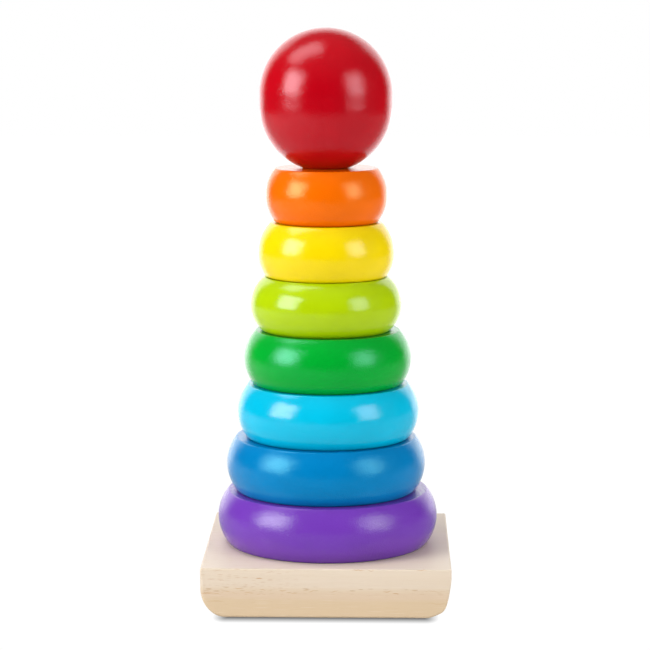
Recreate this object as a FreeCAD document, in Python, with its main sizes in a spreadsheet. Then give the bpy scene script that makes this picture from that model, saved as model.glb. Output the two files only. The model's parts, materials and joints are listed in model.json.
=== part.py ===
import FreeCAD, Part

import math
import os

import Sketcher

# A wooden stacking tower, in millimetres.
# A square board carries one glued upright post.  Seven turned rings, each smaller than the one
# below it, drop loosely over the post, and a ball with a blind bore caps it.
# Frame: origin at the centre of the board's underside, +Z up along the post, X along the
# board's grain and its two rounded bottom edges, -Y at the front.

PARTS_FOLDER = "parts"

SHARED_SIZES = [
    ("board_side", 100.0, "board, square in plan"),
    ("board_thickness", 20.0, "board"),
    ("board_round", 11.0, "large round along the bottom left and right edges"),
    ("edge_ease", 1.0, "sanded edges of the board and rings"),
    ("socket_depth", 15.0, "blind hole that the post is glued into"),
    ("glue_gap", 0.05, "radial gap left for glue round the post"),
    ("post_diameter", 13.0, "dowel"),
    ("post_length", 188.0, "dowel, socket end to tip"),
    ("post_tip_round", 5.0, "round on the tip"),
    ("post_end_chamfer", 1.0, "chamfer on the glued end"),
    ("ring_height", 22.2, "every ring, flat to flat"),
    ("ring_bore", 17.0, "every ring, loose on the post"),
    ("ball_radius", 27.1, "both halves of the ball"),
    ("ball_band", 4.2, "straight band between the two halves"),
    ("ball_flat_radius", 9.2, "flat under the ball"),
    ("ball_bore", 16.0, "blind bore, loose on the post's tip"),
    ("ball_bore_depth", 21.0, "blind bore"),
    ("ball_ease", 0.5, "sanded edges of the ball's flat"),
    ("ball_shift", -1.1, "how far the loose ball rests from the post's axis, along X"),
]

# Name, diameter, side radius, widest height and rest shift of each ring, from the board up.  The
# round side is one arc of the side radius, widest at that height above the ring's foot; turned by
# hand, some rings are fuller below.  The shift is how far the loose ring rests from the post's
# axis, along X.
RINGS = [
    ("purple", 90.7, 16.2, 11.1, -0.3),
    ("blue", 82.0, 17.3, 11.1, -1.0),
    ("sky_blue", 74.8, 16.7, 10.7, -0.1),
    ("green", 68.6, 16.5, 10.4, -0.3),
    ("lime", 62.1, 14.3, 10.7, -1.0),
    ("yellow", 55.8, 17.0, 9.9, -0.9),
    ("orange", 49.8, 16.9, 11.1, -0.8),
]

# A sketch's own origin and axes, and the named points of a line or an arc, as Sketcher counts them.
SKETCH_ORIGIN = (-1, 1)
X_AXIS = -1
Y_AXIS = -2
START, END, CENTRE = 1, 2, 3

TOUCH = 1e-4


# ---- the sheet of driving dimensions ----

def make_sheet(doc):
    """One row per size: its name, its value and what it is; returns the values by name."""
    rows = list(SHARED_SIZES)
    for name, diameter, side_radius, widest, shift in RINGS:
        rows.append((name + "_diameter", diameter, name + " ring"))
        rows.append((name + "_side_radius", side_radius, name + " ring, arc of its round side"))
        rows.append((name + "_widest", widest, name + " ring, height of its widest place"))
        rows.append((name + "_shift", shift, name + " ring, rest place along X"))
    sheet = doc.addObject("Spreadsheet::Sheet", "Sizes")
    for row, (alias, value, note) in enumerate(rows, start=1):
        sheet.set(f"A{row}", alias)
        sheet.set(f"B{row}", str(value))
        sheet.set(f"C{row}", note)
        sheet.setAlias(f"B{row}", alias)
    doc.recompute()
    return {alias: value for alias, value, _ in rows}


# ---- helpers for bodies, sketches and features ----

def new_body(doc, label):
    body = doc.addObject("PartDesign::Body", label)
    body.Label = label
    return body


def place(body, along_x="0", along_z="0"):
    """Bind the body's place at rest to the sheet."""
    body.setExpression(".Placement.Base.x", along_x)
    body.setExpression(".Placement.Base.z", along_z)


def new_sketch(body, name, plane_role):
    plane = next(item for item in body.Origin.OriginFeatures if item.Role == plane_role)
    sketch = body.newObject("Sketcher::SketchObject", name)
    sketch.AttachmentSupport = [(plane, "")]
    sketch.MapMode = "FlatFace"
    return sketch


def constrain(sketch, kind, *args):
    sketch.addConstraint(Sketcher.Constraint(kind, *args))


def drive(sketch, name, expression, kind, *args):
    """Add a dimension with a starting value as its last argument, and bind it to the sheet."""
    index = sketch.addConstraint(Sketcher.Constraint(kind, *args))
    sketch.renameConstraint(index, name)
    sketch.setExpression("Constraints." + name, expression)


def point(x, y):
    return FreeCAD.Vector(x, y, 0)


def line(sketch, start, end):
    return sketch.addGeometry(Part.LineSegment(point(*start), point(*end)))


def arc(sketch, centre, radius, first_angle, last_angle):
    circle = Part.Circle(point(*centre), FreeCAD.Vector(0, 0, 1), radius)
    return sketch.addGeometry(Part.ArcOfCircle(circle, first_angle, last_angle))


def join_loop(sketch, pieces):
    """Close a loop by joining each piece's end to the next one's start."""
    for this, following in zip(pieces, pieces[1:] + pieces[:1]):
        constrain(sketch, "Coincident", this, END, following, START)


def centred_circle(sketch, name, radius_expression, radius):
    circle = sketch.addGeometry(Part.Circle(point(0, 0), FreeCAD.Vector(0, 0, 1), radius))
    constrain(sketch, "Coincident", circle, CENTRE, *SKETCH_ORIGIN)
    drive(sketch, name, radius_expression, "Radius", circle, radius)


def revolve(body, sketch, name):
    feature = body.newObject("PartDesign::Revolution", name)
    feature.Profile = sketch
    feature.ReferenceAxis = (sketch, ["V_Axis"])
    feature.Angle = 360
    return feature


def edges_where(feature, wanted):
    """Names of the feature's edges that the test picks."""
    edges = enumerate(feature.Shape.Edges, start=1)
    return [f"Edge{number}" for number, edge in edges if wanted(edge)]


def dress(doc, body, kind, name, base, wanted, size_name, size_expression):
    """Fillet or chamfer the picked edges of the base feature."""
    doc.recompute()
    edges = edges_where(base, wanted)
    if not edges:
        raise RuntimeError(f"{name} found no edges")
    feature = body.newObject("PartDesign::" + kind, name)
    feature.Base = (base, edges)
    feature.setExpression(size_name, size_expression)
    body.Tip = feature
    doc.recompute()
    return feature


def pocket(doc, body, sketch, name, depth_expression, upwards):
    """Cut a blind round hole and make sure that it took material away."""
    doc.recompute()
    before = body.Tip.Shape.Volume
    feature = body.newObject("PartDesign::Pocket", name)
    feature.Profile = sketch
    feature.Reversed = upwards
    feature.setExpression("Length", depth_expression)
    doc.recompute()
    if feature.Shape.Volume >= before:
        raise RuntimeError(f"{name} cut nothing")
    return feature


def is_level_circle(edge, height):
    """A full circle about the body's axis at this height."""
    if edge.Degenerated or not edge.isClosed():
        return False
    return isinstance(edge.Curve, Part.Circle) and abs(edge.Curve.Center.z - height) < TOUCH


# ---- the pieces ----

def make_board(doc, size):
    """Square board: two large rounds below, every other edge sanded, one blind socket on top."""
    body = new_body(doc, "base")
    half = size["board_side"] / 2

    plan = new_sketch(body, "BoardPlan", "XY_Plane")
    corners = [(-half, -half), (half, -half), (half, half), (-half, half)]
    sides = [line(plan, corners[i], corners[(i + 1) % 4]) for i in range(4)]
    join_loop(plan, sides)
    for side in (sides[0], sides[2]):
        constrain(plan, "Horizontal", side)
    for side in (sides[1], sides[3]):
        constrain(plan, "Vertical", side)
    constrain(plan, "Symmetric", sides[0], START, sides[1], END, *SKETCH_ORIGIN)
    drive(plan, "side_x", "Sizes.board_side", "DistanceX", sides[0], START, sides[0], END, 2 * half)
    drive(plan, "side_y", "Sizes.board_side", "DistanceY", sides[1], START, sides[1], END, 2 * half)

    board = body.newObject("PartDesign::Pad", "Board")
    board.Profile = plan
    board.setExpression("Length", "Sizes.board_thickness")

    def bottom_side_edge(edge):
        middle = edge.BoundBox.Center
        return abs(middle.z) < TOUCH and abs(abs(middle.x) - half) < TOUCH

    rounded = dress(doc, body, "Fillet", "BottomRounds", board, bottom_side_edge,
                    "Radius", "Sizes.board_round")

    def sanded_edge(edge):
        box = edge.BoundBox
        on_end_face = box.YLength < TOUCH and abs(abs(box.YMin) - half) < TOUCH
        on_top = abs(box.ZMin - size["board_thickness"]) < TOUCH
        return on_end_face or on_top

    dress(doc, body, "Fillet", "SandedEdges", rounded, sanded_edge, "Radius", "Sizes.edge_ease")

    socket_plan = new_sketch(body, "SocketPlan", "XY_Plane")
    socket_plan.setExpression(".AttachmentOffset.Base.z", "Sizes.board_thickness")
    centred_circle(socket_plan, "socket_radius", "Sizes.post_diameter / 2 + Sizes.glue_gap",
                   size["post_diameter"] / 2 + size["glue_gap"])
    pocket(doc, body, socket_plan, "PostSocket", "Sizes.socket_depth", upwards=False)
    return body


def make_post(doc, size):
    """Dowel glued in the board's socket, with a rounded tip."""
    body = new_body(doc, "post")
    plan = new_sketch(body, "DowelPlan", "XY_Plane")
    centred_circle(plan, "dowel_radius", "Sizes.post_diameter / 2", size["post_diameter"] / 2)
    dowel = body.newObject("PartDesign::Pad", "Dowel")
    dowel.Profile = plan
    dowel.setExpression("Length", "Sizes.post_length")
    tip = dress(doc, body, "Fillet", "RoundTip", dowel,
                lambda edge: is_level_circle(edge, size["post_length"]),
                "Radius", "Sizes.post_tip_round")
    dress(doc, body, "Chamfer", "GluedEndChamfer", tip,
          lambda edge: is_level_circle(edge, 0.0), "Size", "Sizes.post_end_chamfer")
    place(body, along_z="Sizes.board_thickness - Sizes.socket_depth")
    return body


def make_ring(doc, size, name, count_below):
    """Turned ring: two flats, a bulging side of one arc, and a through bore."""
    body = new_body(doc, name + "_ring")
    height = size["ring_height"]
    radius = size[name + "_diameter"] / 2
    side_radius = size[name + "_side_radius"]
    widest = size[name + "_widest"]
    bore = size["ring_bore"] / 2
    side_centre = radius - side_radius
    low_angle = -math.asin(widest / side_radius)
    high_angle = math.asin((height - widest) / side_radius)
    low_flat = side_centre + side_radius * math.cos(low_angle)
    high_flat = side_centre + side_radius * math.cos(high_angle)

    profile = new_sketch(body, "RingProfile", "XZ_Plane")
    under = line(profile, (bore, 0), (low_flat, 0))
    side = arc(profile, (side_centre, widest), side_radius, low_angle, high_angle)
    upper = line(profile, (high_flat, height), (bore, height))
    wall = line(profile, (bore, height), (bore, 0))
    join_loop(profile, [under, side, upper, wall])
    constrain(profile, "Horizontal", under)
    constrain(profile, "Horizontal", upper)
    constrain(profile, "Vertical", wall)
    constrain(profile, "PointOnObject", under, START, X_AXIS)
    drive(profile, "bore_radius", "Sizes.ring_bore / 2",
          "DistanceX", *SKETCH_ORIGIN, under, START, bore)
    drive(profile, "height", "Sizes.ring_height", "DistanceY", *SKETCH_ORIGIN, wall, START, height)
    drive(profile, "side_radius", f"Sizes.{name}_side_radius", "Radius", side, side_radius)
    drive(profile, "side_centre", f"Sizes.{name}_diameter / 2 - Sizes.{name}_side_radius",
          "DistanceX", *SKETCH_ORIGIN, side, CENTRE, side_centre)
    drive(profile, "widest", f"Sizes.{name}_widest",
          "DistanceY", *SKETCH_ORIGIN, side, CENTRE, widest)

    turned = revolve(body, profile, "Turning")
    dress(doc, body, "Fillet", "SandedEdges", turned,
          lambda edge: is_level_circle(edge, 0.0) or is_level_circle(edge, height),
          "Radius", "Sizes.edge_ease")
    place(body, along_x=f"Sizes.{name}_shift",
          along_z=f"Sizes.board_thickness + {count_below} * Sizes.ring_height")
    return body


def make_ball(doc, size):
    """Turned ball: two halves of a sphere, a short straight band, a small flat and a blind bore."""
    body = new_body(doc, "red_ball")
    radius = size["ball_radius"]
    band = size["ball_band"]
    flat = size["ball_flat_radius"]
    low_centre = math.sqrt(radius ** 2 - flat ** 2)
    high_centre = low_centre + band

    profile = new_sketch(body, "BallProfile", "XZ_Plane")
    under = line(profile, (0, 0), (flat, 0))
    low_half = arc(profile, (0, low_centre), radius, -math.acos(flat / radius), 0)
    middle = line(profile, (radius, low_centre), (radius, high_centre))
    high_half = arc(profile, (0, high_centre), radius, 0, math.pi / 2)
    axis = line(profile, (0, high_centre + radius), (0, 0))
    join_loop(profile, [under, low_half, middle, high_half, axis])
    constrain(profile, "Coincident", under, START, *SKETCH_ORIGIN)
    constrain(profile, "Horizontal", under)
    constrain(profile, "Vertical", middle)
    constrain(profile, "Vertical", axis)
    constrain(profile, "PointOnObject", low_half, CENTRE, Y_AXIS)
    constrain(profile, "PointOnObject", high_half, CENTRE, Y_AXIS)
    constrain(profile, "Horizontal", low_half, CENTRE, low_half, END)
    constrain(profile, "Horizontal", high_half, CENTRE, high_half, START)
    drive(profile, "radius", "Sizes.ball_radius", "Radius", low_half, radius)
    drive(profile, "flat_radius", "Sizes.ball_flat_radius",
          "DistanceX", *SKETCH_ORIGIN, under, END, flat)
    drive(profile, "band", "Sizes.ball_band", "DistanceY", middle, START, middle, END, band)
    revolve(body, profile, "Turning")

    bore_plan = new_sketch(body, "BorePlan", "XY_Plane")
    centred_circle(bore_plan, "bore_radius", "Sizes.ball_bore / 2", size["ball_bore"] / 2)
    bored = pocket(doc, body, bore_plan, "TipBore", "Sizes.ball_bore_depth", upwards=True)
    dress(doc, body, "Fillet", "SandedEdges", bored, lambda edge: is_level_circle(edge, 0.0),
          "Radius", "Sizes.ball_ease")
    place(body, along_x="Sizes.ball_shift",
          along_z=f"Sizes.board_thickness + {len(RINGS)} * Sizes.ring_height")
    return body


# ---- checking and writing ----

def check(doc, bodies):
    doc.recompute()
    for item in doc.Objects:
        if "Invalid" in item.State or "Error" in item.State:
            raise RuntimeError(f"{item.Label} did not build: {item.State}")
    for body in bodies:
        shape = body.Shape
        if shape.isNull() or not shape.isValid() or len(shape.Solids) != 1:
            raise RuntimeError(f"{body.Label} is not one valid solid")


def write(bodies):
    os.makedirs(PARTS_FOLDER, exist_ok=True)
    for body in bodies:
        body.Shape.exportStep(os.path.join(PARTS_FOLDER, body.Label + ".step"))
        box = body.Shape.optimalBoundingBox(False)
        span_x = f"x {box.XMin:7.2f} to {box.XMax:6.2f}"
        span_z = f"z {box.ZMin:7.2f} to {box.ZMax:7.2f}"
        print(f"{body.Label:14s} {span_x}  {span_z}  volume {body.Shape.Volume / 1000:7.2f} cm3")


def main():
    doc = FreeCAD.newDocument("stacking_tower")
    size = make_sheet(doc)
    bodies = [make_board(doc, size), make_post(doc, size)]
    for count_below, ring in enumerate(RINGS):
        bodies.append(make_ring(doc, size, ring[0], count_below))
    bodies.append(make_ball(doc, size))
    check(doc, bodies)
    write(bodies)


main()
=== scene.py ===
import json
import math

import bmesh
import bpy
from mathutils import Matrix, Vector


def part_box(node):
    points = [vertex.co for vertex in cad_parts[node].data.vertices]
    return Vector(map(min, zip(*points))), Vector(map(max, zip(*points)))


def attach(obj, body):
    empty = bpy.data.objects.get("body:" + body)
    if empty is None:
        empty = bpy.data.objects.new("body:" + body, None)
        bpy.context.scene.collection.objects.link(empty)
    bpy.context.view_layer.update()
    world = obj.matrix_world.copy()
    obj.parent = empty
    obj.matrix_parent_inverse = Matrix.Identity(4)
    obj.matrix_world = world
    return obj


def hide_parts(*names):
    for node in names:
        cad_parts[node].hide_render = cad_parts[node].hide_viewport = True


# The looks of a rainbow ring stacker: a bare wooden board and post, seven enamelled rings and an
# enamelled ball.  Sizes and places come from the CAD frame; metres throughout.

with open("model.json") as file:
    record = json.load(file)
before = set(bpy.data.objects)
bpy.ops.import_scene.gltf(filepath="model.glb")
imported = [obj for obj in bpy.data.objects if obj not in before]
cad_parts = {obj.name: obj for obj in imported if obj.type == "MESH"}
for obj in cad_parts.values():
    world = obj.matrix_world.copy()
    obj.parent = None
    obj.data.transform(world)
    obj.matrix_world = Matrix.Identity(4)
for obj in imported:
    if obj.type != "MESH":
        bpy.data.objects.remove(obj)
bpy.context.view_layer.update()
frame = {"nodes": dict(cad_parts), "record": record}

MM = 0.001
SLOTS = {part["node"]: part["material_slot"] for part in frame["record"]["subparts"]}


# ---- camera, floor and light ----

CAMERA_TURN = 1.33          # degrees round from the object's front
CAMERA_RISE = 8.65          # degrees above the horizon
CAMERA_DISTANCE = 1.015     # from what it aims at
CAMERA_AIM = Vector((-1.4 * MM, 0, 110.5 * MM))
CAMERA_LENS = 136.6         # on a 36 mm sensor

LIGHT_AIM = Vector((0, 0, 130 * MM))

PAPER_HALF_WIDTH = 43       # white paper behind the object, in degrees each side of straight behind
PAPER_TOP = 38              # degrees above the horizon
PAPER_LEVEL = 2.3           # brightness along its foot, where it is lit from both sides
PAPER_LEVEL_UP = 2.0        # and further up
PAPER_LEVEL_NEAR = 0.8      # on the table close behind the object
PAPER_BLUR = 0.03           # half width of its soft edges, on the sine or cosine of the angle
ROOM_LEVEL = 0.06           # the rest of the studio, from this to the ceiling's level
CEILING_LEVEL = 0.25

TABLE_FRONT = -0.82         # the table ends here, in front of the object
TABLE_SIDE = 1.1
TABLE_BACK = 2.5
TABLE_GREY = 0.82
GLOSS_GREY = 0.4            # the table as the gloss of the paint shows it
GLOSS_GREY_LEFT = 0.62      # and at its left, under the key light
GLOSS_GREY_RUN = (-0.35, 0.05)      # from left to right
PAPER_START = (0.08, 0.3)   # how far behind the middle the lit table fades in
PAPER_RUN = (0.1, 2.0)      # and grows to the brightness of the paper's foot
CONTACT_HALF_WIDTH = 39.5 * MM      # of the board's flat underside
CONTACT_REACH = 7.7 * MM            # how far the board's shadow spreads over the table
CONTACT_SIDES = 1.35                # it spreads this many times less to the sides
CONTACT_LEVEL = 0.2                 # brightness of the table right at the board's foot
LIT_LEVEL = 1.02                    # and out of the shadow


def direction(azimuth, elevation):
    """Unit vector from the object: azimuth 0 is its front, positive to the right, in degrees."""
    a, e = math.radians(azimuth), math.radians(elevation)
    return Vector((math.sin(a) * math.cos(e), -math.cos(a) * math.cos(e), math.sin(e)))


def link(thing):
    bpy.context.scene.collection.objects.link(thing)
    return thing


def make_camera():
    data = bpy.data.cameras.new("camera")
    data.lens = CAMERA_LENS
    data.clip_start = 0.05
    camera = link(bpy.data.objects.new("camera", data))
    back = direction(CAMERA_TURN, CAMERA_RISE)
    camera.location = CAMERA_AIM + back * CAMERA_DISTANCE
    camera.rotation_euler = (-back).to_track_quat("-Z", "Y").to_euler()
    bpy.context.scene.camera = camera


def softbox(name, azimuth, elevation, distance, width, height, radiance, mirrored=True):
    """A rectangular studio light that faces the object's middle, and shows in its gloss or not."""
    data = bpy.data.lights.new(name, "AREA")
    data.shape = "RECTANGLE"
    data.size = width
    data.size_y = height
    data.energy = radiance * width * height * math.pi
    light = link(bpy.data.objects.new(name, data))
    light.visible_camera = False
    light.visible_glossy = mirrored
    back = direction(azimuth, elevation)
    light.location = LIGHT_AIM + back * distance
    light.rotation_euler = (-back).to_track_quat("-Z", "Y").to_euler()


class Graph:
    """Adds nodes to a tree.  An input is named or numbered, and set by a value or a socket."""

    def __init__(self, tree):
        self.tree = tree
        tree.nodes.clear()

    def add(self, kind, inputs=None, **settings):
        node = self.tree.nodes.new("ShaderNode" + kind)
        for key, value in settings.items():
            setattr(node, key, value)
        for key, value in (inputs or {}).items():
            if isinstance(value, bpy.types.NodeSocket):
                self.tree.links.new(value, node.inputs[key])
            else:
                node.inputs[key].default_value = value
        return node

    def math(self, operation, first, second=0.0):
        return self.add("Math", {0: first, 1: second}, operation=operation).outputs[0]

    def ramp(self, value, low, high, to_low=0.0, to_high=1.0):
        """The value's run from low to high, stretched from to_low to to_high and clamped."""
        inputs = {"Value": value, "From Min": low, "From Max": high,
                  "To Min": to_low, "To Max": to_high}
        return self.add("MapRange", inputs).outputs[0]

    def mix(self, factor, first, second):
        """Mix of two colours."""
        return self.add("Mix", {0: factor, 6: first, 7: second}, data_type="RGBA").outputs[2]

    def split(self, vector):
        """The three parts of a vector."""
        return self.add("SeparateXYZ", {0: vector}).outputs

    def stretched(self, vector, scale, offset=(0, 0, 0), turn=(0, 0, 0)):
        """Coordinates multiplied by a scale for each axis, turned and then moved."""
        inputs = {"Vector": vector, "Scale": scale, "Location": offset, "Rotation": turn}
        return self.add("Mapping", inputs).outputs[0]

    def noise(self, vector, scale=1.0, detail=2.0, roughness=0.5):
        """Cloudy noise, with as many cells to the metre as its scale says."""
        inputs = {"Vector": vector, "Scale": scale, "Detail": detail, "Roughness": roughness}
        return self.add("TexNoise", inputs).outputs["Fac"]

    def place(self, kind="Object"):
        """Where on the piece the point lies, or its Normal or Generated coordinates."""
        return self.add("TexCoord").outputs[kind]

    def on_paper(self, x, y):
        """1 where the white paper lies behind the object, and 0 elsewhere."""
        squares = self.math("ADD", self.math("POWER", x, 2.0), self.math("POWER", y, 2.0))
        share = self.math("DIVIDE", y, self.math("MAXIMUM", self.math("SQRT", squares), 0.001))
        edge = math.cos(math.radians(PAPER_HALF_WIDTH))
        return self.ramp(share, edge - PAPER_BLUR, edge + PAPER_BLUR)


def make_world():
    """White to the camera; to the object, lit paper behind it and a dim studio elsewhere."""
    world = bpy.data.worlds.new("studio")
    bpy.context.scene.world = world
    world.use_nodes = True
    g = Graph(world.node_tree)
    x, y, z = g.split(g.place("Generated"))     # z is the sine of the elevation
    top_edge = math.sin(math.radians(PAPER_TOP))
    below = g.ramp(z, top_edge - PAPER_BLUR, top_edge + PAPER_BLUR, 1.0, 0.0)
    level = g.math("MULTIPLY", below, g.ramp(z, 0.0, 0.2, PAPER_LEVEL, PAPER_LEVEL_UP))
    paper = g.math("MULTIPLY", g.on_paper(x, y), level)
    room = g.ramp(z, 0.3, 0.9, ROOM_LEVEL, CEILING_LEVEL)
    seen = g.add("LightPath").outputs["Is Camera Ray"]
    studio = g.add("Background", {"Strength": g.math("MAXIMUM", paper, room)}).outputs[0]
    white = g.add("Background", {"Color": (1, 1, 1, 1)}).outputs[0]
    shader = g.add("MixShader", {0: seen, 1: studio, 2: white}).outputs[0]
    g.add("OutputWorld", {"Surface": shader})


def make_floor():
    """Table top.  To the camera it is pure white, save for a soft dark line of contact.  To the
    object it is grey, and bright behind the object, where the paper is lit."""
    corners = [(-TABLE_SIDE, TABLE_FRONT, 0), (TABLE_SIDE, TABLE_FRONT, 0),
               (TABLE_SIDE, TABLE_BACK, 0), (-TABLE_SIDE, TABLE_BACK, 0)]
    mesh = bpy.data.meshes.new("floor")
    mesh.from_pydata(corners, [], [(0, 1, 2, 3)])
    floor = link(bpy.data.objects.new("floor", mesh))
    material = bpy.data.materials.new("table_top")
    material.use_nodes = True
    g = Graph(material.node_tree)
    x, y, _ = g.split(g.place())
    aside = g.math("SUBTRACT", g.math("ABSOLUTE", x), CONTACT_HALF_WIDTH)
    aside = g.math("MULTIPLY", g.math("MAXIMUM", aside, 0.0), CONTACT_SIDES)
    ahead = g.math("SUBTRACT", g.math("ABSOLUTE", y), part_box("base")[1].y)
    ahead = g.math("MAXIMUM", ahead, 0.0)
    away = g.math("ADD", g.math("POWER", aside, 2.0), g.math("POWER", ahead, 2.0))
    away = g.math("SQRT", away)
    shade = g.ramp(away, 0.0, CONTACT_REACH, CONTACT_LEVEL, LIT_LEVEL)
    seen = g.add("LightPath").outputs["Is Camera Ray"]
    white = g.add("Emission", {"Color": (1, 1, 1, 1), "Strength": shade}).outputs[0]
    mirrored = g.add("LightPath").outputs["Is Glossy Ray"]
    mirrored_grey = g.ramp(x, *GLOSS_GREY_RUN, GLOSS_GREY_LEFT, GLOSS_GREY)
    dimming = g.math("SUBTRACT", TABLE_GREY, mirrored_grey)
    grey = g.math("SUBTRACT", TABLE_GREY, g.math("MULTIPLY", mirrored, dimming))
    neutral = g.add("CombineXYZ", {0: grey, 1: grey, 2: grey}).outputs[0]
    matte = g.add("BsdfDiffuse", {"Color": neutral}).outputs[0]
    paper = g.math("MULTIPLY", g.on_paper(x, y), g.ramp(y, *PAPER_START))
    level = g.ramp(y, *PAPER_RUN, PAPER_LEVEL_NEAR, PAPER_LEVEL)
    paper = g.math("MULTIPLY", paper, level)
    lit = g.add("Emission", {"Color": (1, 1, 1, 1), "Strength": paper}).outputs[0]
    table = g.add("AddShader", {0: matte, 1: lit}).outputs[0]
    shader = g.add("MixShader", {0: seen, 1: table, 2: white}).outputs[0]
    g.add("OutputMaterial", {"Surface": shader})
    mesh.materials.append(material)


def make_studio():
    """The camera, the white surroundings and the lights: name, azimuth, elevation, distance,
    width, height and radiance."""
    bpy.context.scene.view_settings.view_transform = "Standard"
    make_camera()
    make_world()
    make_floor()
    softbox("key_left", -61, 20, 2.0, 1.1, 1.25, 9.6)
    softbox("fill_right", 55, 18, 2.0, 0.98, 1.25, 5.0)
    softbox("top_strip", -91, 66, 1.1, 0.48, 0.78, 4.0)
    softbox("bounce_right", 78, 14, 2.0, 1.6, 1.2, 2.3, mirrored=False)
    softbox("bounce_above", 20, 78, 1.6, 1.6, 1.6, 0.4, mirrored=False)


# ---- turned pieces ----

TURNED_SEGMENTS = 192
UP = math.pi / 2            # a quarter turn: straight up in an outline
TIP_ROUND = 5.0 * MM        # of the post's upper end
POST_CHAMFER = 1.0 * MM     # of its lower end
TOUCH = 0.01 * MM           # points nearer than this are at the same place


def arc(centre_r, centre_z, radius, first, last, count):
    """Points on an arc in the (r, z) plane, from the first to the last angle, in radians."""
    angles = [first + (last - first) * i / count for i in range(count + 1)]
    return [(centre_r + radius * math.cos(a), centre_z + radius * math.sin(a)) for a in angles]


def between(start, end, count):
    """Points that divide a straight run into equal steps, without its two ends."""
    return [tuple(a + (b - a) * i / count for a, b in zip(start, end)) for i in range(1, count)]


class Turned:
    """Sizes of a turned CAD node: its foot on the axis, radius, height, flats, bore and ease."""

    def __init__(self, node):
        low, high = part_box(node)
        axis = ((low + high) / 2).xy
        self.foot = Vector((axis.x, axis.y, low.z))
        self.radius = (high.x - low.x) / 2
        self.height = high.z - low.z
        points = frame["nodes"][node].data.vertices
        self.points = [((v.co.xy - axis).length, v.co.z - low.z) for v in points]
        self.low_flat = self.flat(0)
        self.high_flat = self.flat(self.height)
        self.bore = min(r for r, z in self.points if z < self.height / 2)
        self.ease = self.low_flat[0] - self.bore

    def flat(self, level):
        """Inner and outer radius of what lies at this level."""
        radii = [r for r, z in self.points if abs(z - level) < TOUCH]
        return min(radii), max(radii)


def ring_side(ring):
    """Radius and centre height of the side arc, which runs tangent into the two eased edges."""
    low = ring.low_flat[1] - (ring.radius - ring.ease)
    high = ring.high_flat[1] - (ring.radius - ring.ease)
    rise = ring.height - 2 * ring.ease
    square = rise ** 2 + high ** 2 - low * high
    root = math.sqrt(rise ** 2 - (1 - high / low) * square)
    centre = square / (rise + root)
    eased_radius = -(centre ** 2 + low ** 2) / (2 * low)
    return eased_radius + ring.ease, centre + ring.ease


def ring_profile(ring):
    """Closed outline of a ring: bore mouth, flat, eased edge, bulging side and back again."""
    ease, height = ring.ease, ring.height
    mouth = ring.low_flat[0]
    low, high = ring.low_flat[1], ring.high_flat[1]
    side_radius, widest = ring_side(ring)
    side_centre = ring.radius - side_radius
    low_join = -math.atan2(widest - ease, low - side_centre)
    high_join = math.atan2(height - ease - widest, high - side_centre)
    profile = arc(mouth, ease, ease, -math.pi, -UP, 6)
    profile += between((mouth, 0), (low, 0), 6)
    profile += arc(low, ease, ease, -UP, low_join, 6)[:-1]
    profile += arc(side_centre, widest, side_radius, low_join, high_join, 44)
    profile += arc(high, height - ease, ease, high_join, UP, 6)[1:]
    profile += between((high, height), (mouth, height), 6)
    profile += arc(mouth, height - ease, ease, UP, math.pi, 6)
    profile += between((ring.bore, height - ease), (ring.bore, ease), 10)
    return profile


def ball_profile(ball):
    """Open outline of the ball, from its pole round to the blind end of its bore."""
    ease, bore, radius, height = ball.ease, ball.bore, ball.radius, ball.height
    mouth, flat = ball.low_flat
    low_centre = ease + math.sqrt((radius - ease) ** 2 - flat ** 2)
    high_centre = height - radius
    bore_end = max(z for r, z in ball.points if r < bore + TOUCH and z < low_centre)
    join = -math.atan2(low_centre - ease, flat)
    profile = [(0, height)] + arc(0, high_centre, radius, UP, 0, 48)[1:]
    profile += between((radius, high_centre), (radius, low_centre), 5)
    profile += arc(0, low_centre, radius, 0, join, 40)
    profile += arc(flat, ease, ease, join, -UP, 4)[1:]
    profile += arc(mouth, ease, ease, -UP, -math.pi, 6)
    profile += between((bore, ease), (bore, bore_end), 10)
    profile += [(bore, bore_end), (bore / 2, bore_end), (0, bore_end)]
    return profile


def post_profile(post):
    """Open outline of the dowel, from its rounded tip to its chamfered end."""
    radius, length = post.radius, post.height
    shoulder = radius - TIP_ROUND
    profile = [(0, length)] + between((0, length), (shoulder, length), 3)
    profile += arc(shoulder, length - TIP_ROUND, TIP_ROUND, UP, 0, 14)
    profile += between((radius, length - TIP_ROUND), (radius, POST_CHAMFER), 60)
    profile += [(radius, POST_CHAMFER), (radius - POST_CHAMFER, 0), (0, 0)]
    return profile


def lathe(name, profile, foot, closed):
    """Turn an outline about the upright axis over its foot."""
    vertices = []
    rows = []
    for r, z in profile:
        count = TURNED_SEGMENTS if r > TOUCH else 1
        first = len(vertices)
        rows.append([first + i % count for i in range(TURNED_SEGMENTS)])
        for i in range(count):
            a = 2 * math.pi * i / count
            vertices.append((foot.x + r * math.cos(a), foot.y + r * math.sin(a), foot.z + z))
    following_rows = rows[1:] + rows[:1] if closed else rows[1:]
    faces = []
    for this, following in zip(rows, following_rows):
        for i in range(TURNED_SEGMENTS):
            j = (i + 1) % TURNED_SEGMENTS
            corners = [this[i], this[j], following[j], following[i]]
            faces.append([c for n, c in enumerate(corners) if c != corners[n - 1]])
    return mesh_piece(name, vertices, faces)


def mesh_piece(name, vertices, faces):
    """A piece from a list of points and faces, smooth, with every face turned outward."""
    mesh = bpy.data.meshes.new(name)
    mesh.from_pydata(vertices, [], faces)
    work = bmesh.new()
    work.from_mesh(mesh)
    bmesh.ops.recalc_face_normals(work, faces=work.faces)
    work.to_mesh(mesh)
    work.free()
    mesh.shade_smooth()
    return link(bpy.data.objects.new(name, mesh))


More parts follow.
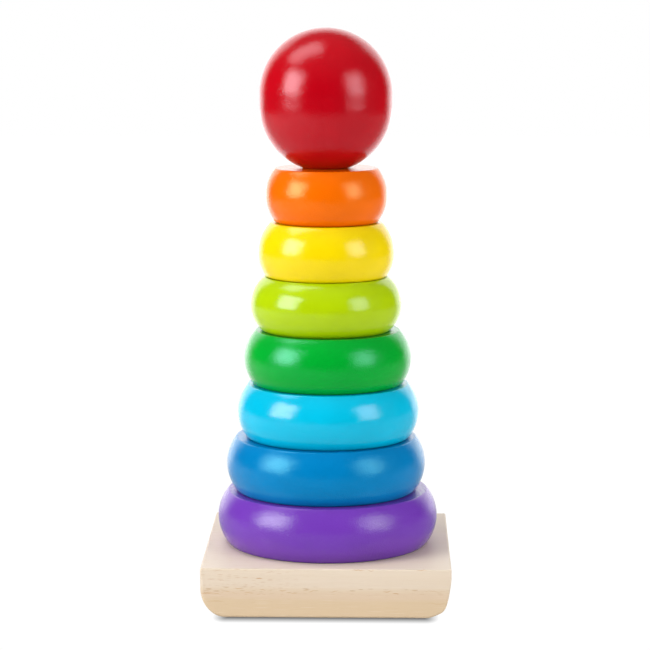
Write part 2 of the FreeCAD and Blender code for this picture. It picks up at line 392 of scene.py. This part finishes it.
BARE_REACH = 0.6            # how much of the bore mouth's ease is bare of paint
BALL_BARE_TOP = 0.45        # the ball's bore ends below this share of its height
CREASE_SHADE_HEIGHT = 0.9 * MM       # how far up a ring's lower edge the painted shade reaches


def mark(piece, name, shares):
    """Store a number from 0 to 1 at each point of a piece, for its material to read."""
    attribute = piece.data.attributes.new(name, "FLOAT", "POINT")
    attribute.data.foreach_set("value", shares)


def mark_bare(piece, turned):
    """Mark the bore's wall as bare wood, 1 inside it and 0 from its mouth outward."""
    reach = turned.bore + BARE_REACH * turned.ease
    top = turned.foot.z + BALL_BARE_TOP * turned.height
    open_above = turned.high_flat[1] > reach
    shares = []
    for vertex in piece.data.vertices:
        inside = (vertex.co.xy - turned.foot.xy).length < reach
        shares.append(1.0 if inside and (open_above or vertex.co.z < top) else 0.0)
    mark(piece, "bare", shares)


def mark_crease_shade(piece, turned):
    """Mark where a ring's lower outer edge is painted darker, standing in for the shade in the crease
    where it
    stands on the ring or board below: 1 at its foot, falling to 0 at the painted shade's height.
    Points of the underside, which lie further in, get 0."""
    rim = turned.low_flat[1] - TOUCH
    shares = []
    for vertex in piece.data.vertices:
        share = max(0.0, 1 - (vertex.co.z - turned.foot.z) / CREASE_SHADE_HEIGHT)
        outer = (vertex.co.xy - turned.foot.xy).length > rim
        shares.append(share if outer else 0.0)
    mark(piece, "crease_shade", shares)


# ---- materials ----

def srgb(red, green, blue):
    """Linear colour from 8-bit display values."""
    values = [value / 255 for value in (red, green, blue)]
    return tuple(v / 12.92 if v <= 0.04045 else ((v + 0.055) / 1.055) ** 2.4 for v in values) + (1,)


def scaled(colour, factor):
    return tuple(min(1.0, c * factor) for c in colour[:3]) + (1,)


def new_material(name):
    material = bpy.data.materials.new(name)
    material.use_nodes = True
    return material, Graph(material.node_tree)


PEBBLE = 0.55 * MM          # size of the enamel's fine pebbling
WAVE = 5.0 * MM             # and of its slow unevenness


class Finish:
    """One enamel: its colour, roughness, heights of pebbles and waves in millimetres, and the
    tint of its reflections."""

    def __init__(self, colour, roughness, pebbles, waves, tint):
        self.colour = colour
        self.roughness = roughness
        self.pebbles = pebbles * MM
        self.waves = waves * MM
        self.tint = tint


FIBRE_HEIGHT = 0.004 * MM   # of the wood's fibres under the enamel
TONES = (0.95, 1.04)        # darkest and lightest of the colour, by which it varies slowly
GLOSSES = (0.9, 1.12)       # smallest and largest of the roughness
CREASE_SHADE_TONE = 0.2             # of the colour in the painted shade along a ring's lower edge, where it is mixed in
CREASE_SHADE_SHARE = 0.5            # by up to this share
BORE_WOOD = (srgb(196, 164, 120), srgb(216, 190, 152))
BORE_ROUGHNESS = 0.65

FINISHES = {
    "purple_ring": Finish(srgb(106, 53, 168), 0.17, 0.11, 0.05, (0.85, 0.92, 0.8, 1)),
    "blue_ring": Finish(srgb(0, 117, 177), 0.155, 0.095, 0.05, (0.25, 0.95, 0.95, 1)),
    "sky_blue_ring": Finish(srgb(0, 177, 211), 0.12, 0.05, 0.06, (0.8, 0.75, 0.9, 1)),
    "green_ring": Finish(srgb(0, 157, 42), 0.155, 0.095, 0.05, (0.42, 0.95, 1, 1)),
    "lime_ring": Finish(srgb(167, 195, 2), 0.12, 0.05, 0.06, (0.65, 0.75, 0.87, 1)),
    "yellow_ring": Finish(srgb(232, 203, 0), 0.14, 0.06, 0.05, (0.9, 0.85, 0.8, 1)),
    "orange_ring": Finish(srgb(233, 102, 0), 0.155, 0.08, 0.05, (0.97, 0.95, 0.42, 1)),
    "red_ball": Finish(srgb(177, 0, 17), 0.145, 0.085, 0.05, (1, 0.8, 0.88, 1)),
}


def paint(name, finish, turn):
    """Enamel over turned wood, with painted shade along a ring's lower edge for the crease where it
    stands on what is below, and bare wood in the bore.  turn is the way the wood's fibres lie, in
    radians about Z."""
    material, g = new_material(name)
    coords = g.place()
    tone = g.ramp(g.noise(coords, 55, 3), 0.3, 0.7)
    darkest, lightest = [scaled(finish.colour, factor) for factor in TONES]
    painted = g.mix(tone, darkest, lightest)
    # Painted shade: the enamel is darkened along a ring's lower edge, standing in for the shade in the
    # crease where it stands on what is below.
    crease_shade = g.add("Attribute", attribute_name="crease_shade").outputs["Fac"]
    shade = g.ramp(crease_shade, 0.0, 0.7, 0.0, CREASE_SHADE_SHARE)
    painted = g.mix(shade, painted, scaled(finish.colour, CREASE_SHADE_TONE))
    fibre = g.noise(g.stretched(coords, (60, 1400, 900), turn=(0, 0, turn)))

    bare = g.add("Attribute", attribute_name="bare").outputs["Fac"]
    bared = g.ramp(g.math("MULTIPLY", bare, g.noise(coords, 260, 3)), 0.30, 0.38)
    wood = g.mix(fibre, *BORE_WOOD)

    pebbles = g.noise(coords, 1 / PEBBLE, 1, 0.5)
    waves = g.noise(coords, 1 / WAVE, 1)
    pebbled = g.add("Bump", {"Height": pebbles, "Distance": finish.pebbles}).outputs[0]
    waved = g.add("Bump", {"Height": waves, "Distance": finish.waves, "Normal": pebbled}).outputs[0]
    grained = g.add("Bump", {"Height": fibre, "Distance": FIBRE_HEIGHT, "Normal": waved}).outputs[0]

    glossiest, dullest = [finish.roughness * factor for factor in GLOSSES]
    gloss = g.ramp(g.noise(coords, 140, 3), 0.3, 0.7, glossiest, dullest)
    inputs = {
        "Base Color": g.mix(bared, painted, wood),
        "Roughness": g.math("MAXIMUM", gloss, g.math("MULTIPLY", bared, BORE_ROUGHNESS)),
        "Normal": grained,
        "IOR": 1.5,
        "Specular Tint": finish.tint,
    }
    shader = g.add("BsdfPrincipled", inputs)
    g.add("OutputMaterial", {"Surface": shader.outputs[0]})
    return material


# The heart of the tree lies far below the board, so that its growth layers are nearly level.
HEART_Y = -20 * MM
HEART_Z = -300 * MM
FIRST_LAYER = 300 * MM      # from the heart to the first growth layer that shows
LAYERS_DEPTH = 30 * MM
GROWTH_LINE = 312.6 * MM    # from the heart to the layer along which most pores lie
DRIFT = 2.0 * MM            # how far the layers wander
PORE_DEPTH = 0.03 * MM

# The board's clearest resin streaks: centre and half sizes in millimetres, and strength.
STREAK_BROWN = (0.47, 0.25, 0.11, 1)
STREAK_WOBBLE = 0.4 * MM
BOARD_STREAKS = [
    ((-47.5, -50, 10.0), (3.6, 6, 0.26), 0.75),
    ((-43.5, -50, 9.6), (2.0, 6, 0.2), 0.5),
    ((-44.0, -50, 6.7), (4.0, 5, 0.2), 0.45),
    ((-26.5, -50, 16.0), (1.7, 4, 0.3), 0.75),
    ((-45.5, -50, 15.7), (2.0, 4, 0.2), 0.5),
    ((-41.5, -50, 15.2), (1.6, 4, 0.2), 0.4),
    ((-35.0, -50, 16.5), (1.4, 4, 0.2), 0.4),
    ((-43.0, -50, 19.2), (2.4, 4, 0.2), 0.4),
    ((-22.0, -50, 18.8), (2.2, 4, 0.2), 0.4),
    ((13.0, -50, 19.7), (3.0, 5, 0.22), 0.6),
    ((18.0, -50, 19.4), (1.6, 5, 0.2), 0.5),
    ((38.0, -50, 19.8), (2.6, 5, 0.22), 0.5),
    ((24.5, -50, 10.9), (2.2, 5, 0.24), 0.6),
    ((28.0, -50, 10.4), (1.6, 5, 0.2), 0.55),
    ((42.0, -50, 11.2), (8.0, 5, 0.13), 0.5),
    ((44.0, -50, 6.2), (5.5, 5, 0.14), 0.35),
    ((-34.5, -50, 11.9), (2.4, 5, 0.24), 0.6),
    ((-31.0, -50, 10.4), (1.8, 5, 0.2), 0.5),
    ((-25.0, -50, 11.5), (1.6, 5, 0.22), 0.5),
    ((-17.0, -50, 11.1), (1.9, 5, 0.24), 0.55),
    ((-12.5, -50, 9.8), (1.6, 5, 0.2), 0.45),
    ((-5.5, -50, 10.9), (1.6, 5, 0.22), 0.5),
    ((3.5, -50, 11.0), (2.0, 5, 0.2), 0.45),
]


def bare_wood(name, grain_turn, pale, tan, dash, streaks=()):
    """Pale clear timber, solid all through: growth layers, fibres and short open pores, and painted
    light that makes upward faces paler.
    grain_turn turns the piece's own grain direction onto X.  streaks are the clearest ones."""
    material, g = new_material(name)
    coords = g.stretched(g.place(), (1, 1, 1), turn=grain_turn)
    drift = g.noise(g.stretched(coords, (16, 40, 40)))
    x, y, z = g.split(coords)
    across = g.math("POWER", g.math("SUBTRACT", y, HEART_Y), 2.0)
    up = g.math("POWER", g.math("SUBTRACT", z, HEART_Z), 2.0)
    depth = g.math("SQRT", g.math("ADD", across, up))
    depth = g.math("ADD", depth, g.math("MULTIPLY", drift, DRIFT))
    depth = g.math("SUBTRACT", depth, DRIFT / 2)

    layers = g.add("ValToRGB", {0: g.ramp(depth, FIRST_LAYER, FIRST_LAYER + LAYERS_DEPTH)})
    fill_ramp(layers.color_ramp, growth_stops(pale, tan))
    fibre = g.noise(g.stretched(coords, (70, 2600, 2600)), detail=3)
    streak = g.noise(g.stretched(coords, (9, 260, 260), (0.3, 0, 0)))
    tone = g.mix(g.ramp(fibre, 0.25, 0.75, 0.0, 0.10), layers.outputs[0], dash)
    tone = g.mix(g.ramp(streak, 0.45, 0.8, 0.0, 0.35), tone, tan)

    from_line = g.math("ABSOLUTE", g.math("SUBTRACT", depth, GROWTH_LINE))
    near_line = g.ramp(from_line, 0.5 * MM, 1.8 * MM, 1.0, 0.08)
    leftward = g.ramp(x, 40 * MM, -20 * MM, 0.55, 1.0)
    near_line = g.math("MULTIPLY", near_line, leftward)
    pores = g.math("MULTIPLY", dashes(g, coords, (280, 1300, 2100), (0, 0, 0)), near_line)
    upper_left = g.math("MULTIPLY", g.ramp(x, -8 * MM, -22 * MM), g.ramp(z, 12 * MM, 14 * MM))
    specks = g.math("MULTIPLY", dashes(g, coords, (300, 1300, 1900), (0.4, 0.6, 0.2)), upper_left)
    tone = g.mix(g.math("MULTIPLY", specks, 0.4), tone, STREAK_BROWN)
    near_band = g.ramp(from_line, 2.0 * MM, 3.4 * MM, 1.0, 0.0)
    left_band = g.math("MULTIPLY", g.ramp(x, -2 * MM, -30 * MM), near_band)
    short = g.math("MULTIPLY", dashes(g, coords, (420, 1500, 2000), (0.2, 0.5, 0.4)), left_band)
    tone = g.mix(g.math("MULTIPLY", short, 0.3), tone, STREAK_BROWN)
    flecks = dashes(g, coords, (110, 1500, 1900), (0.7, 0.2, 0.1))
    tone = g.mix(g.math("MULTIPLY", pores, 0.85), tone, scaled(dash, 0.78))
    for centre, half_sizes, strength in streaks:
        tone = g.mix(streak_mask(g, coords, centre, half_sizes, strength), tone, STREAK_BROWN)
    tone = g.mix(g.math("MULTIPLY", flecks, 0.22), tone, scaled(pale, 1.05))
    facing = g.split(g.place("Normal"))
    end_face = g.ramp(g.math("ABSOLUTE", facing[0]), 0.75, 0.95)
    tone = g.mix(g.math("MULTIPLY", end_face, 0.18), tone, dash)
    # Painted light: faces turned upward are mixed toward a paler colour, standing in for the sheen and
    # extra light they catch from above.
    painted_top_light = g.ramp(facing[2], 0.9, 0.99)
    tone = g.mix(g.math("MULTIPLY", painted_top_light, 0.5), tone, scaled(pale, 1.22))

    relief = g.math("SUBTRACT", g.math("MULTIPLY", fibre, 0.5), pores)
    bump = g.add("Bump", {"Height": relief, "Distance": PORE_DEPTH}).outputs[0]
    inputs = {
        "Base Color": tone,
        "Roughness": g.ramp(fibre, 0.2, 0.8, 0.45, 0.58),
        "Normal": bump,
        "IOR": 1.45,
    }
    shader = g.add("BsdfPrincipled", inputs)
    g.add("OutputMaterial", {"Surface": shader.outputs[0]})
    return material


def streak_mask(g, coords, centre, half_sizes, strength):
    """A thin resin streak along the grain, as an ellipsoid given in millimetres."""
    wander = g.noise(g.stretched(coords, (320, 60, 60)))
    wobble = g.ramp(wander, 0.3, 0.7, -STREAK_WOBBLE, STREAK_WOBBLE)
    shift = g.add("CombineXYZ", {2: wobble}).outputs[0]
    bent = g.add("VectorMath", {0: coords, 1: shift}, operation="ADD").outputs[0]
    scale = [1 / (size * MM) for size in half_sizes]
    offset = [-place / size for place, size in zip(centre, half_sizes)]
    inside = g.stretched(bent, scale, offset)
    out = g.add("VectorMath", {0: inside}, operation="LENGTH").outputs[1]
    return g.ramp(out, 0.4, 1.0, strength, 0.0)


def growth_stops(pale, tan):
    """Place and colour of each growth layer, from the heart outward."""
    peach = blend(tan, pale, 0.25)
    rosy = (peach[0], peach[1] * 0.985, peach[2] * 1.02, 1)
    return [(0.0, scaled(tan, 0.97)), (0.12, tan), (0.27, tan), (0.33, rosy), (0.385, rosy),
            (0.42, blend(tan, pale, 0.5)), (0.475, scaled(pale, 0.98)), (0.6, pale),
            (0.66, scaled(pale, 1.02)), (0.70, pale), (0.76, scaled(pale, 0.96)),
            (0.8, pale), (1.0, pale)]


def blend(first, second, share):
    """The first colour with a share of the second."""
    return tuple(a + (b - a) * share for a, b in zip(first, second))


def fill_ramp(ramp, stops):
    """Set a colour ramp to a list of places and colours."""
    ramp.elements.remove(ramp.elements[-1])
    ramp.elements[0].position, ramp.elements[0].color = stops[0]
    for position, colour in stops[1:]:
        ramp.elements.new(position).color = colour


def dashes(g, coords, scale, offset):
    """Short dashes along X: cells stretched along the grain, of which only some are filled."""
    cells = g.add("TexVoronoi", {"Vector": g.stretched(coords, scale, offset), "Scale": 1.0})
    dash = g.ramp(cells.outputs["Distance"], 0.2, 0.45, 1.0, 0.0)
    pick = g.add("SeparateColor", {0: cells.outputs["Color"]}).outputs[0]
    return g.math("MULTIPLY", dash, g.ramp(pick, 0.55, 0.85))


# ---- the board ----

EASE = 0.6 * MM             # of the board's edges
LEFT_EASE = 1.3 * MM        # of its upright edges on the left
LEFT_EASE_RUN = 4 * MM      # over which that widens, from the top down
LOWER_EASE = 1.1 * MM       # of the edges round its underside
LOWER_EASE_TOP = 2 * MM     # how far up those reach
LEFT_ROUND = (10.0 * MM, 11.8 * MM)         # across and up
# The right side is sanded further up, and ends in a facet below: millimetres in and up.
RIGHT_SANDING = [(9.0, 0.0), (6.2, 1.0), (3.9, 2.2), (2.3, 4.1), (1.3, 7.3), (0.6, 11.0), (0.1, 14.4)]
SANDING_TOP = 16 * MM
SOCKET_GAP = 0.05 * MM      # between the post and its socket
SOCKET_BIT = 30 * MM        # length of the bit, more than the socket's depth
FACE_SHARE = 0.98           # of the ease, so that no rounded corner shrinks to a point


def board_outline(width, height):
    """Outline of the board's front face from its lower right corner round, and the ease of its
    edges at each point, as (x, z, ease)."""
    half = width / 2
    across, up = LEFT_ROUND
    right = [(half - inward * MM, z * MM) for inward, z in RIGHT_SANDING]
    right = smooth_run(right) + [(half, SANDING_TOP)]
    right += between(right[-1], (half, height - EASE), 4)
    right += arc(half - EASE, height - EASE, EASE, 0, UP, 5)
    top_end = (EASE - half, height - EASE)
    left = arc(*top_end, EASE, UP, math.pi, 5)
    left += between(left[-1], (-half, up), 8)
    turns = [math.pi + UP * i / 20 for i in range(21)]
    left += [(across - half + across * math.cos(a), up + up * math.sin(a)) for a in turns]
    outline = []
    for x, z in right + left:
        ease = EASE
        if x < 0:
            share = min(1.0, max(0.0, (height - EASE - z) / LEFT_EASE_RUN))
            ease += share * (LEFT_EASE - EASE)
        if z < LOWER_EASE_TOP:
            ease = LOWER_EASE
        outline.append((x, z, ease))
    return outline


def smooth_run(points):
    """A smooth curve through the points, four steps to each (Catmull-Rom)."""
    guides = [points[0]] + points + [points[-1]]
    run = []
    for i in range(len(points) - 1):
        p, q, r, s = [Vector(point) for point in guides[i:i + 4]]
        for t in (0.0, 0.25, 0.5, 0.75):
            value = q + (r - p) * 0.5 * t + (p - q * 2.5 + r * 2 - s * 0.5) * t ** 2
            value += (q * 1.5 - r * 1.5 + s * 0.5 - p * 0.5) * t ** 3
            run.append(tuple(value))
    return run + [points[-1]]


def drawn_in(outline, share):
    """The outline moved inward along its own normals, by a share of the ease at each point."""
    moved = []
    for i, (x, z, ease) in enumerate(outline):
        before = Vector(outline[i - 1][:2])
        after = Vector(outline[(i + 1) % len(outline)][:2])
        along = (after - before).normalized()
        moved.append((x - along.y * ease * share, z + along.x * ease * share))
    return moved


def make_board(name):
    """Board with eased edges, lofted from its front to its back face, with a socket for the post."""
    low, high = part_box("base")
    outline = board_outline(high.x - low.x, high.z - low.z)
    turns = [UP * i / 5 for i in range(6)]
    vertices = []
    rows = []
    for face_y, inward in ((low.y, 1), (high.y, -1)):
        for a in turns if inward > 0 else reversed(turns):
            points = drawn_in(outline, FACE_SHARE * (1 - math.sin(a)))
            rows.append(range(len(vertices), len(vertices) + len(outline)))
            for (x, z), (_, _, ease) in zip(points, outline):
                vertices.append((x, face_y + inward * ease * (1 - math.cos(a)), z))
    faces = [tuple(rows[0]), tuple(rows[-1])]
    for this, following in zip(rows, rows[1:]):
        for i in range(len(this)):
            j = (i + 1) % len(this)
            faces.append((this[i], this[j], following[j], following[i]))
    board = mesh_piece(name, vertices, faces)
    cut_socket(board)
    return board


def cut_socket(board):
    """Bore the blind socket that the post stands in."""
    post_low, post_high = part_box("post")
    radius = (post_high.x - post_low.x) / 2 + SOCKET_GAP
    profile = [(0, 0), (radius, 0), (radius, SOCKET_BIT), (0, SOCKET_BIT)]
    bit = lathe("bit", profile, Vector((0, 0, post_low.z)), closed=False)
    cut = board.modifiers.new("socket", "BOOLEAN")
    cut.object = bit
    cut.solver = "EXACT"
    bored = bpy.data.meshes.new_from_object(board.evaluated_get(bpy.context.evaluated_depsgraph_get()))
    board.modifiers.clear()
    board.data = bored
    bored.name = board.name
    bpy.data.objects.remove(bit)


# ---- putting it together ----

def finish_piece(piece, body, node, material):
    """Give a piece its one material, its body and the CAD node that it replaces."""
    piece.data.materials.clear()
    piece.data.materials.append(material)
    piece.modifiers.new("even_normals", "WEIGHTED_NORMAL")
    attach(piece, body)
    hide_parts(node)


def make_pieces():
    board_wood = bare_wood("natural_wood", (0, 0, 0), srgb(214, 199, 180), srgb(203, 181, 150),
                           srgb(186, 140, 92), BOARD_STREAKS)
    finish_piece(make_board("board"), "stand", "base", board_wood)

    dowel_wood = bare_wood("post_wood", (0, UP, 0), srgb(224, 204, 176), srgb(214, 188, 154),
                           srgb(180, 138, 96))
    dowel = Turned("post")
    post = lathe("dowel", post_profile(dowel), dowel.foot, closed=False)
    finish_piece(post, "stand", "post", dowel_wood)

    for count, (node, finish) in enumerate(FINISHES.items()):
        turned = Turned(node)
        is_ring = node.endswith("_ring")
        profile = ring_profile(turned) if is_ring else ball_profile(turned)
        piece = lathe("painted_" + node, profile, turned.foot, closed=is_ring)
        mark_bare(piece, turned)
        # Rings get painted shade along their lower edge, where each stands on what is below.
        if is_ring:
            mark_crease_shade(piece, turned)
        finish_piece(piece, node, node, paint(SLOTS[node], finish, 0.3 + 0.9 * count))


make_studio()
make_pieces()
